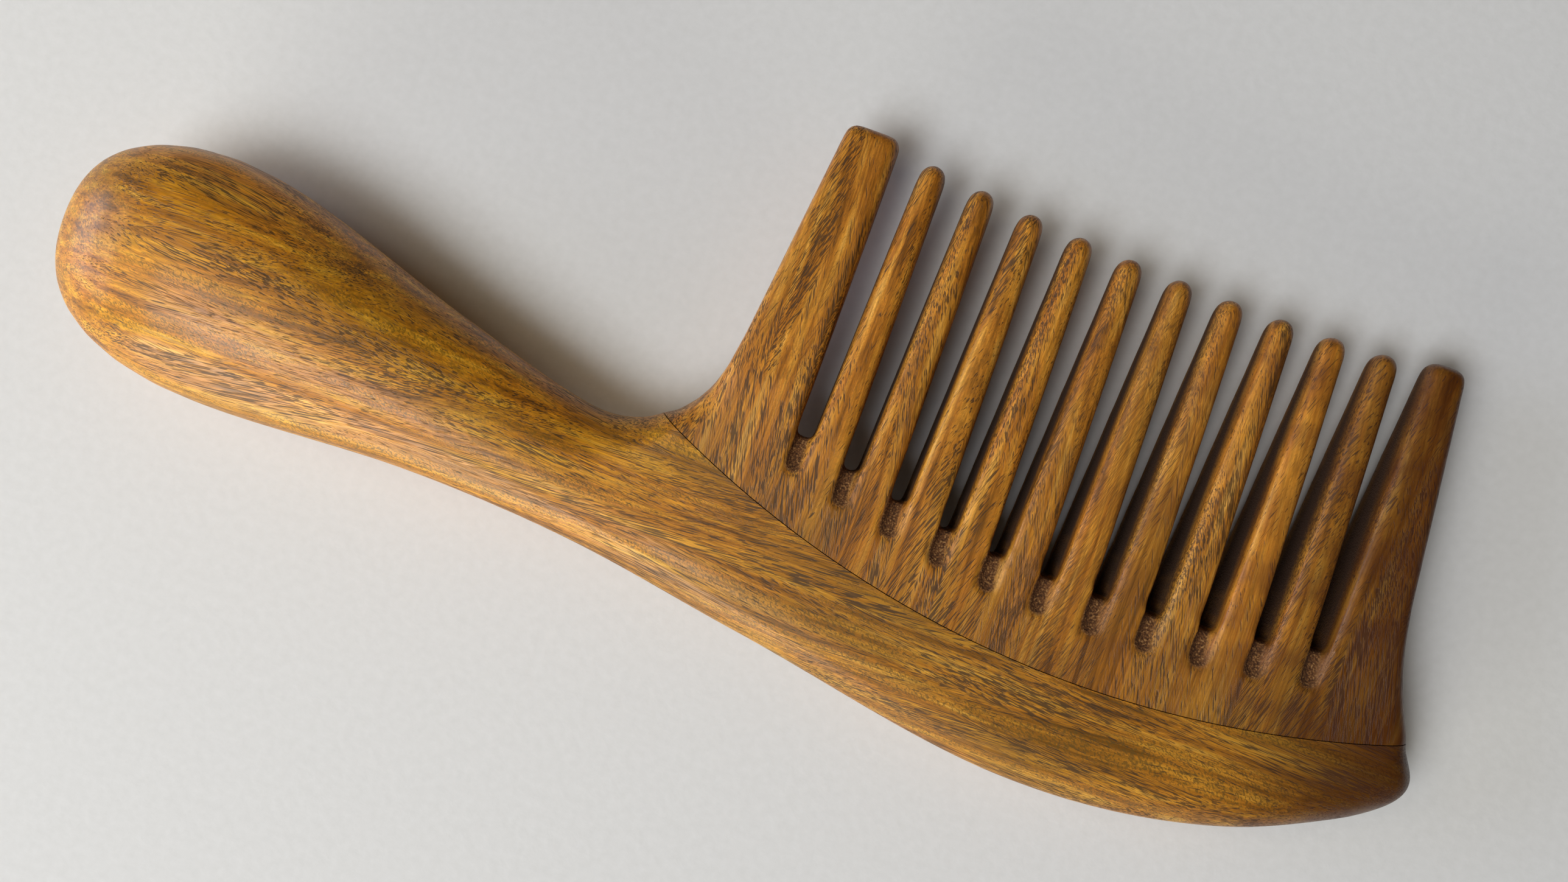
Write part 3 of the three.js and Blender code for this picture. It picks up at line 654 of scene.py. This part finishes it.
# %% Points on the row, with the height of each tooth
sizes = add_node(row_tree, "NodeGroupInput").outputs
steps = add_node(row_tree, "ShaderNodeMath", {0: sizes["Teeth"], 1: -1.0}, operation="ADD")
span = add_node(row_tree, "ShaderNodeMath", {0: steps, 1: sizes["Pitch"]}, operation="MULTIPLY")
start = add_node(row_tree, "ShaderNodeMath", {0: span, 1: -0.5}, operation="MULTIPLY")
first = add_node(row_tree, "ShaderNodeCombineXYZ", {"X": start})
step = add_node(row_tree, "ShaderNodeCombineXYZ", {"X": sizes["Pitch"]})
line = add_node(row_tree, "GeometryNodeMeshLine", {
    "Count": sizes["Teeth"], "Start Location": first, "Offset": step}, mode="OFFSET")
place = add_node(row_tree, "GeometryNodeInputPosition")
spot = add_node(row_tree, "ShaderNodeSeparateXYZ", {0: place})

heights = {}
for end in ("Foot", "Tip"):
    radius = sizes[end + " radius"]
    offset = add_node(row_tree, "ShaderNodeMath", {
        0: spot.outputs["X"], 1: sizes[end + " low X"]}, operation="SUBTRACT")
    square = add_node(row_tree, "ShaderNodeMath", {0: offset, 1: offset}, operation="MULTIPLY")
    whole = add_node(row_tree, "ShaderNodeMath", {0: radius, 1: radius}, operation="MULTIPLY")
    left = add_node(row_tree, "ShaderNodeMath", {0: whole, 1: square}, operation="SUBTRACT")
    drop = add_node(row_tree, "ShaderNodeMath", {0: left}, operation="SQRT")
    rise = add_node(row_tree, "ShaderNodeMath", {0: radius, 1: drop}, operation="SUBTRACT")
    heights[end] = add_node(row_tree, "ShaderNodeMath", {
        0: rise, 1: sizes[end + " height"]}, operation="ADD")
length = add_node(row_tree, "ShaderNodeMath", {0: heights["Tip"], 1: heights["Foot"]},
                  operation="SUBTRACT")
stretch = add_node(row_tree, "ShaderNodeCombineXYZ", {"X": 1.0, "Y": length, "Z": 1.0})
print("row tree so far:", len(row_tree.nodes), "nodes")

# %% Stand the teeth on the points and lean them
keep = add_node(row_tree, "GeometryNodeCaptureAttribute", {"Geometry": line})
keep.capture_items.new("VECTOR", "Stretch")
row_tree.links.new(stretch.outputs[0], keep.inputs["Stretch"])
foot = add_node(row_tree, "ShaderNodeCombineXYZ", {"Y": heights["Foot"]})
feet = add_node(row_tree, "GeometryNodeSetPosition", {"Geometry": keep, "Offset": foot})
pattern = add_node(row_tree, "GeometryNodeObjectInfo", {"Object": sizes["Tooth"]})
stood = add_node(row_tree, "GeometryNodeInstanceOnPoints", {
    "Points": feet, "Instance": pattern.outputs["Geometry"], "Scale": keep.outputs["Stretch"]})
realized = add_node(row_tree, "GeometryNodeRealizeInstances", {"Geometry": stood})
above = add_node(row_tree, "ShaderNodeMath", {
    0: spot.outputs["Y"], 1: sizes["Lean pivot"]}, operation="SUBTRACT")
sideways = add_node(row_tree, "ShaderNodeMath", {0: above, 1: sizes["Lean"]},
                    operation="MULTIPLY")
shift = add_node(row_tree, "ShaderNodeCombineXYZ", {"X": sideways})
leaning = add_node(row_tree, "GeometryNodeSetPosition", {"Geometry": realized, "Offset": shift})
finished = add_node(row_tree, "GeometryNodeSetMaterial", {
    "Geometry": leaning, "Material": sizes["Wood"]})
add_node(row_tree, "NodeGroupOutput", {"Geometry": finished})


def bake_row(inputs):
    row = new_object("tooth_row", bpy.data.meshes.new("tooth_row"))
    modifier = row.modifiers.new("tooth_row", "NODES")
    modifier.node_group = row_tree
    for identifier, value in inputs.items():
        modifier[identifier] = value
    return bake(row)


def places(mesh):
    flat = np.zeros(len(mesh.vertices) * 3)
    mesh.vertices.foreach_get("co", flat)
    return flat.reshape(-1, 3)


row_mesh = bake_row(row_inputs)
bpy.data.objects.remove(tooth)
print("row:", len(row_mesh.polygons), "faces, tips up to",
      places(row_mesh)[:, 1].max().round(2), "mm")

# %% [markdown]
# ## The scooped ends of the gaps
# A cutter with a rounded rim has run out of each gap and left a shallow scoop in both faces: about
# five millimetres long, one and a half deep and round across. Behind its edge the gap goes
# straight through. The scoop could be cut away, but here the gap runs on below it, so it is
# easier to fill: one block with a scooped top and bottom stands in every gap. The blocks follow
# the same rule as the teeth, so the same tree sets them out, with other numbers.

# %% One scooped block
SCOOP_DEPTH, SCOOP_HALF = 1.5, 1.3
SCOOP_ROUND = 0.25  # share of the scoop's length that its rounded end takes up
BLOCK_HALF, BLOCK_START = 1.7, 0.5  # the block reaches into the wood around the scoop
BLOCK_ROWS, BLOCK_COLUMNS = 24, 25
FLUSH = 0.05  # the block stays this much under the faces

shape = bmesh.new()
layers = {1: [], -1: []}
for share in np.linspace(0, 1, BLOCK_ROWS):
    run = np.clip((share * (SCOOP_LENGTH + BLOCK_START) - BLOCK_START) / SCOOP_LENGTH, 0, 1)
    deep = SCOOP_DEPTH * math.sqrt(1 - (1 - run) ** 2)
    half = SCOOP_HALF * math.sqrt(1 - (1 - min(run / SCOOP_ROUND, 1)) ** 2)
    for side, rows in layers.items():
        rows.append([])
        for x in np.linspace(-BLOCK_HALF, BLOCK_HALF, BLOCK_COLUMNS):
            round_in = math.sqrt(max(1 - (x / half) ** 2, 0)) if half > 0 else 0
            height = BOARD_THICKNESS / 2 - FLUSH - deep * round_in
            rows[-1].append(shape.verts.new((x, share, side * height)))
for rows in layers.values():
    for low, high in zip(rows, rows[1:]):
        for i in range(len(low) - 1):
            shape.faces.new((low[i], low[i + 1], high[i + 1], high[i]))
top, bottom = layers[1], layers[-1]
rims = [([line[k] for line in top], [line[k] for line in bottom]) for k in (0, -1)]
rims += [(top[k], bottom[k]) for k in (0, -1)]
for upper, lower in rims:
    for i in range(len(upper) - 1):
        shape.faces.new((upper[i], upper[i + 1], lower[i + 1], lower[i]))
bmesh.ops.recalc_face_normals(shape, faces=shape.faces)
block = new_object("scooped_block", mesh_from("scooped_block", shape))
print("scooped block:", len(block.data.polygons), "faces")

# %% A block in every gap
block_numbers = (TEETH + 1, PITCH, GAP_END_RADIUS, GAP_END_LOW_X, GAP_END_HEIGHT - BLOCK_START,
                 GAP_END_RADIUS, GAP_END_LOW_X, FOOT_HEIGHT, LEAN, LEAN_PIVOT, block, board_wood)
block_mesh = bake_row(dict(zip(row_inputs, block_numbers)))
bpy.data.objects.remove(block)
print("blocks:", len(block_mesh.polygons), "faces")

# %% [markdown]
# ## One skin
# The back, the stub board, the teeth and the blocks still overlap. A boolean union would leave
# their facets and hard creases. A voxel remesh melts them into one skin of small even faces, as
# glue and filler do, and that is the mesh that sanding needs.

# %% Melt the parts together
VOXEL = 0.3

blank = bmesh.new()
for mesh in (back_mesh, stub_mesh, row_mesh, block_mesh):
    blank.from_mesh(mesh)
skin = new_object("skin", mesh_from("skin", blank))
melt = skin.modifiers.new("melt", "REMESH")
melt.mode, melt.voxel_size = "VOXEL", VOXEL
skin_mesh = bake(skin)
print("skin:", len(skin_mesh.polygons), "faces")

# %% [markdown]
# ## Planed flanks
# A plane has taken a shaving off the long edges of the handle, on both faces. It leaves broad soft
# facets, and the lower one catches the light of the window along most of the comb. A boolean would
# need a cutter swept along the curved edge. Here each point that stands higher than the plane at
# its step along the handle is pressed back to the plane, which is what planing does.

# %% Plane the long edges
PLANE_SLOPE = math.radians(40)
SHAVING = 0.5
LOWER_EDGE, UPPER_EDGE = (-138, 50), (-138, -72)  # where along the comb the plane was used
RUN_IN, RUN_OUT = 16, 24  # over which the plane goes in and comes out again
FIRST_STOP, STOP_HALF = -136.0, 1.5  # the edge's height is taken every millimetre, in slices
SEEN_STEP = 0.02  # a smaller change doesn't show

spots = places(skin_mesh)
x = spots[:, 0]
on_back = np.hypot(x - JOINT_CENTRE.x, spots[:, 1] - JOINT_CENTRE.y) > JOINT_RADIUS
stops_along = np.arange(FIRST_STOP, LOWER_EDGE[1])
for side, (first, last) in ((-1, LOWER_EDGE), (1, UPPER_EDGE)):
    shaving = SHAVING * ease(x, first, first + RUN_IN) * on_back
    shaving *= 1 - ease(x, last - RUN_OUT, last)
    for face in (-1, 1):
        towards = np.array([0, side * math.sin(PLANE_SLOPE), face * math.cos(PLANE_SLOPE)])
        height = spots @ towards
        tops = [height[on_back & (np.abs(x - stop) < STOP_HALF)].max() for stop in stops_along]
        over = height - np.interp(x, stops_along, tops) + shaving
        spots -= np.clip(over, 0, shaving)[:, None] * towards
planed = np.linalg.norm(spots - places(skin_mesh), axis=1)
skin_mesh.vertices.foreach_set("co", spots.ravel())
print("planed points:", int((planed > SEEN_STEP).sum()), "down by up to", planed.max().round(2),
      "mm")

# %% [markdown]
# ## Sanding
# Sanding wears a surface towards the mean of its surroundings, and blurring the points of a mesh
# does the same, where a bevel would round every edge alike. A Geometry Nodes tree blurs them for a
# number of passes. A value on each point says how far the sandpaper reaches: fully on the handle,
# a little on the board and its teeth, and hardly into the ends of the gaps.

# %% How far the sandpaper reaches
BOARD_REACH = 0.15
GAP_END_REACH = 0.06
JOINT_BLEND = (-5, 3)  # from the back to the board, across the joint line
SCOOP_BLEND_IN, SCOOP_BLEND_OUT = (-2, -0.6), (6, 8)  # past the arc of the gap ends
ROW_BLEND = (2, 4)  # past the last gap on either side


def past_gap_end(x, y):
    return GAP_END_RADIUS - np.hypot(x - GAP_END_LOW_X, y - GAP_END_HEIGHT - GAP_END_RADIUS)


x, y, z = places(skin_mesh).T
into_board = JOINT_RADIUS - np.hypot(x - JOINT_CENTRE.x, y - JOINT_CENTRE.y)
reach = 1 - (1 - BOARD_REACH) * ease(into_board, *JOINT_BLEND)
beyond = past_gap_end(x, y)
in_row = 1 - ease(np.abs(x) - row_half, *ROW_BLEND)
in_scoop = in_row * ease(beyond, *SCOOP_BLEND_IN) * (1 - ease(beyond, *SCOOP_BLEND_OUT))
reach -= (reach - GAP_END_REACH) * in_scoop
skin_mesh.attributes.new("reach", "FLOAT", "POINT").data.foreach_set("value", reach)
print("mean reach of the sandpaper:", round(float(reach.mean()), 3))

# %% Node tree for sanding
sanding = bpy.data.node_groups.new("sanding", "GeometryNodeTree")
sanding_inputs = {}
for name, kind in [("Geometry", "NodeSocketGeometry"), ("Passes", "NodeSocketInt"),
                   ("Wood", "NodeSocketMaterial")]:
    socket = sanding.interface.new_socket(name, in_out="INPUT", socket_type=kind)
    sanding_inputs[name] = socket.identifier
sanding.interface.new_socket("Geometry", in_out="OUTPUT", socket_type="NodeSocketGeometry")
sizes = add_node(sanding, "NodeGroupInput").outputs
paper_reach = add_node(sanding, "GeometryNodeInputNamedAttribute", {"Name": "reach"},
                       data_type="FLOAT")
place = add_node(sanding, "GeometryNodeInputPosition")
worn = add_node(sanding, "GeometryNodeBlurAttribute", {
    "Value": place, "Iterations": sizes["Passes"], "Weight": paper_reach},
    data_type="FLOAT_VECTOR")
sanded = add_node(sanding, "GeometryNodeSetPosition", {
    "Geometry": sizes["Geometry"], "Position": worn})
realized = add_node(sanding, "GeometryNodeRealizeInstances", {"Geometry": sanded})
finished = add_node(sanding, "GeometryNodeSetMaterial", {
    "Geometry": realized, "Material": sizes["Wood"]})
add_node(sanding, "NodeGroupOutput", {"Geometry": finished})
print("sanding:", len(sanding.nodes), "nodes")

# %% Sand the skin
SANDING_PASSES = 40

skin = new_object("sanded_skin", skin_mesh)
modifier = skin.modifiers.new("sanding", "NODES")
modifier.node_group = sanding
modifier[sanding_inputs["Passes"]] = SANDING_PASSES
modifier[sanding_inputs["Wood"]] = board_wood
sanded_mesh = bake(skin)
worn_away = np.linalg.norm(places(sanded_mesh) - np.stack([x, y, z], 1), axis=1)
print("sanding moved the surface by up to", worn_away.max().round(2), "mm")

# %% [markdown]
# ## The joint line
# The sanded skin is one piece again, so a disc of the joint's radius cuts it in two. What lies
# inside the disc is the board, the rest is the back. A gap of about a tenth of a millimetre is
# left between them: it shows as the hairline of a good glue joint. A line drawn in the material
# would look alike, but then the back and the board would not be two pieces.

# %% Cut the skin at the joint
SEAM_HALF = 0.06
DISC_SEGMENTS, DISC_DEPTH = 1440, 80

pieces = {}
for name, operation, radius in (("back", "DIFFERENCE", JOINT_RADIUS + SEAM_HALF),
                                ("board", "INTERSECT", JOINT_RADIUS - SEAM_HALF)):
    shape = bmesh.new()
    bmesh.ops.create_cone(shape, cap_ends=True, segments=DISC_SEGMENTS, radius1=radius,
                          radius2=radius, depth=DISC_DEPTH,
                          matrix=Matrix.Translation(JOINT_CENTRE.to_3d()))
    disc = new_object("disc", mesh_from("disc", shape))
    piece = new_object(name, sanded_mesh.copy())
    cut = piece.modifiers.new("joint", "BOOLEAN")
    cut.operation, cut.solver, cut.object = operation, "MANIFOLD", disc
    pieces[name] = bake(piece)
    bpy.data.objects.remove(disc)
print({name: len(mesh.polygons) for name, mesh in pieces.items()}, "faces")

# %% [markdown]
# ## Saw marks
# Sandpaper hardly gets into the gaps, so their walls and scooped ends keep the marks of the saw
# and the cutter. Two values on each point of the board say how much of them shows; the wall value
# also carries painted shade, darker deeper under the face, and where a scoop's wall faces the light
# most of its saw marks are left off, so the brighter wood shows as painted light. The values could
# be painted by hand, but then each change of size would mean painting again. Here they follow from
# the distance to the nearest gap, the depth under the face and the way that the surface faces.

# %% Where the saw marks stay
HALF_GAP_ROOT, HALF_GAP_TIP = 1.3, 1.85
TOOTH_FOOT_Y = 15.0
# Ranges over which a mark fades in or out: in millimetres, or by how far a surface faces sideways
GAP_EDGE = (0.1, 0.5)
SCOOP_START, SCOOP_END, SCOOP_RIM = (-0.3, 0.1), (5.1, 5.4), (0.1, 0.45)
WALL_START, WALL_SHADE_DEPTH, WALL_FACING = (4, 5), (0.6, 3.2), (0.6, 0.9)
LIT_WALL_FACING, LIT_WALL_SHARE = (0.45, 0.75), 0.8  # the scoop's wall that faces the light keeps most of the brighter wood: painted light

x, y, z = places(pieces["board"]).T
facing = np.zeros(3 * len(x))
pieces["board"].vertices.foreach_get("normal", facing)
along = np.clip((y - TOOTH_FOOT_Y) / TOOTH_LENGTH, 0, 1)
upright_x = x - LEAN * (y - LEAN_PIVOT)
gap_x = np.clip(np.round((upright_x + row_half) / PITCH), 0, TEETH) * PITCH - row_half
half_gap = HALF_GAP_ROOT + (HALF_GAP_TIP - HALF_GAP_ROOT) * along ** TAPER_POWER
in_gap = 1 - ease(np.abs(upright_x - gap_x) - half_gap, *GAP_EDGE)
half_thick = (BOARD_THICKNESS + (TIP_THICKNESS - BOARD_THICKNESS) * along) / 2
under_face = half_thick - np.abs(z)
beyond = past_gap_end(x, y)
in_scoop = ease(beyond, *SCOOP_START) * (1 - ease(beyond, *SCOOP_END))
# painted light: where a scoop's wall faces the light, most of its sawn look is left off so the
# brighter waxed wood shows
worn = LIT_WALL_SHARE * ease(-facing[0::3], *LIT_WALL_FACING)
scoop = in_gap * in_scoop * ease(under_face, *SCOOP_RIM) * (1 - worn)
# painted shade: the wall value grows with depth under the face, so the gap walls darken where light
# reaches least
wall = in_gap * (1 - in_scoop) * ease(beyond, *WALL_START) * ease(under_face, *WALL_SHADE_DEPTH)
wall *= ease(np.abs(facing[0::3]), *WALL_FACING)
for name, share in (("gap_end", scoop), ("gap_wall", wall)):
    pieces["board"].attributes.new(name, "FLOAT", "POINT").data.foreach_set("value", share)
    print(name, "covers", round(float(share.mean()), 3), "of the board's points")

# %% [markdown]
# ## Laid on the table
# The flat comb is finished, and both pieces are laid down as the real comb lies. The remesh gave
# flat places as many faces as curved ones, so each mesh is thinned first. Each piece then takes
# the place of its packed one, which is hidden, on the body named root and with its wood as its
# material.

# %% Lay both pieces down
SHARP_ANGLE = math.radians(55)

for name, node_name, slot, wood, kept in (
        ("back", "handle_back", "back_wood", back_wood, 0.55),
        ("board", "tooth_plate", "tooth_wood", board_wood, 0.45)):
    piece = new_object("cut_" + name, pieces[name])
    thin = piece.modifiers.new("thin", "DECIMATE")
    thin.ratio = kept
    mesh = bake(piece)
    mesh.materials.clear()
    mesh.materials.append(wood)
    mesh.transform(lay_down)
    mesh.polygons.foreach_set("use_smooth", [True] * len(mesh.polygons))
    mesh.set_sharp_from_angle(angle=SHARP_ANGLE)
    sanded_piece = new_object("sanded_" + name, mesh)
    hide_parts(node_name)
    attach(sanded_piece, "root")
    triangles = sum(len(face.vertices) - 2 for face in mesh.polygons)
    print(sanded_piece.name, triangles, "triangles")

# %% [markdown]
# ## Glue
# A thin bed of hardened glue fills the bottom of the groove inside the joint. Nobody sees it in
# the finished comb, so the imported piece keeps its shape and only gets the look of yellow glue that
# has soaked into wood: brown, uneven and dull.

# %% Glue in the groove
GLUE_IOR, GLUE_ROUGHNESS = 1.5, 0.6
CLOTS_PER_METRE = 900.0

glue, tree, shader = new_material("wood_glue_hardened", GLUE_IOR)
shader.inputs["Roughness"].default_value = GLUE_ROUGHNESS
where = add_node(tree, "ShaderNodeTexCoord")
clots = add_node(tree, "ShaderNodeTexNoise", {
    "Vector": where.outputs["Object"], "Scale": CLOTS_PER_METRE, "Detail": 3.0})
brown = add_node(tree, "ShaderNodeValToRGB", {"Fac": clots})
brown.color_ramp.elements[0].color = linear("#4a2e14")
brown.color_ramp.elements[1].color = linear("#7a5526")
tree.links.new(brown.outputs[0], shader.inputs["Base Color"])
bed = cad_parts["glue_bed"]
bed.data.materials.clear()
bed.data.materials.append(glue)
print("glue bed:", len(bed.data.polygons), "faces")

# %% [markdown]
# ## Paper and light
# The comb lies on white drawing paper. Daylight comes in over its back through a window in two
# parts: the cool top lights the faces and throws the shadows towards the tips, and the low sill
# shines on the planed lower flank. A second low window at the left gives the end of the bulb its
# cool gloss. A warm lamp stands close by at the left: the paper is brightest there and falls off
# to the right. The warm room fills the shadows, and only the camera sees its walls as pale. Light
# from all sides would be simpler, but it would hide the planed flank and the run of the teeth.

# %% Drawing paper
PAPER_IOR, PAPER_ROUGHNESS = 1.5, 0.9
FIBRES_PER_METRE = 700.0  # real paper fibres are far finer: this is the soft tooth that they make
PAPER_TOOTH = 0.0002
PAPER_HALF = 1.3

paper, tree, shader = new_material("drawing_paper", PAPER_IOR)
shader.inputs["Roughness"].default_value = PAPER_ROUGHNESS
where = add_node(tree, "ShaderNodeTexCoord")
fibres = add_node(tree, "ShaderNodeTexNoise", {
    "Vector": where.outputs["Object"], "Scale": FIBRES_PER_METRE, "Detail": 4.0})
white = add_node(tree, "ShaderNodeValToRGB", {"Fac": fibres})
white.color_ramp.elements[0].color = linear("#dddcd8")
white.color_ramp.elements[1].color = linear("#e8e7e4")
tooth_of_paper = add_node(tree, "ShaderNodeBump", {
    "Height": fibres, "Strength": 0.15, "Distance": PAPER_TOOTH})
tree.links.new(white.outputs[0], shader.inputs["Base Color"])
tree.links.new(tooth_of_paper.outputs[0], shader.inputs["Normal"])

corners = [(-PAPER_HALF, -PAPER_HALF, 0), (PAPER_HALF, -PAPER_HALF, 0),
           (PAPER_HALF, PAPER_HALF, 0), (-PAPER_HALF, PAPER_HALF, 0)]
floor_mesh = bpy.data.meshes.new("floor")
floor_mesh.from_pydata(corners, [], [(0, 1, 2, 3)])
floor_mesh.materials.append(paper)
floor = new_object("floor", floor_mesh)
print("paper:", len(tree.nodes), "nodes")

# %% Room
ROOM_LIGHT, ROOM_SEEN = 0.04, 0.8  # strength of the room as a light, and as the camera sees it

world = bpy.data.worlds.new("room_light")
world.use_nodes = True
room = world.node_tree.nodes["Background"]
ray = add_node(world.node_tree, "ShaderNodeLightPath")
walls = add_node(world.node_tree, "ShaderNodeValToRGB", {"Fac": ray.outputs["Is Camera Ray"]})
walls.color_ramp.elements[0].color = linear("#dcb489")
walls.color_ramp.elements[1].color = linear("#f4f6ff")
world.node_tree.links.new(walls.outputs[0], room.inputs["Color"])
strength = add_node(world.node_tree, "ShaderNodeMapRange", {
    "Value": ray.outputs["Is Camera Ray"], "To Min": ROOM_LIGHT, "To Max": ROOM_SEEN})
world.node_tree.links.new(strength.outputs[0], room.inputs["Strength"])
bpy.context.scene.world = world
bpy.context.scene.view_settings.view_transform = "Standard"
print("room:", len(world.node_tree.nodes), "nodes")

# %% Windows and lamp
# Turn and height in degrees, distance and size in metres, power in watts
middle = (cad_low + cad_high) / 2
for name, turn, height, distance, wide, tall, watts, tint in (
        ("window_top", -128, 54, 1.2, 0.8, 0.6, 10.2, "#f0f6ff"),
        ("window_sill", -112, 11, 2.4, 1.6, 0.6, 30.5, "#fdfdf4"),
        ("side_window", -173, 15, 2.4, 1.6, 0.8, 22.0, "#d2e0ff"),
        ("lamp", -165, 60, 0.5, 0.4, 0.4, 0.66, "#fff0d2")):
    light_data = bpy.data.lights.new(name, "AREA")
    light_data.shape = "RECTANGLE"
    light_data.size, light_data.size_y = wide, tall
    light_data.energy = watts
    light_data.color = linear(tint)[:3]
    light = bpy.data.objects.new(name, light_data)
    bpy.context.scene.collection.objects.link(light)
    around, up = math.radians(turn), math.radians(height)
    direction = Vector((math.cos(around) * math.cos(up), math.sin(around) * math.cos(up),
                        math.sin(up)))
    light.visible_camera = False
    light.location = middle + direction * distance
    light.rotation_euler = (-direction).to_track_quat("-Z", "Y").to_euler()
    print(name, [round(c, 3) for c in light.location])
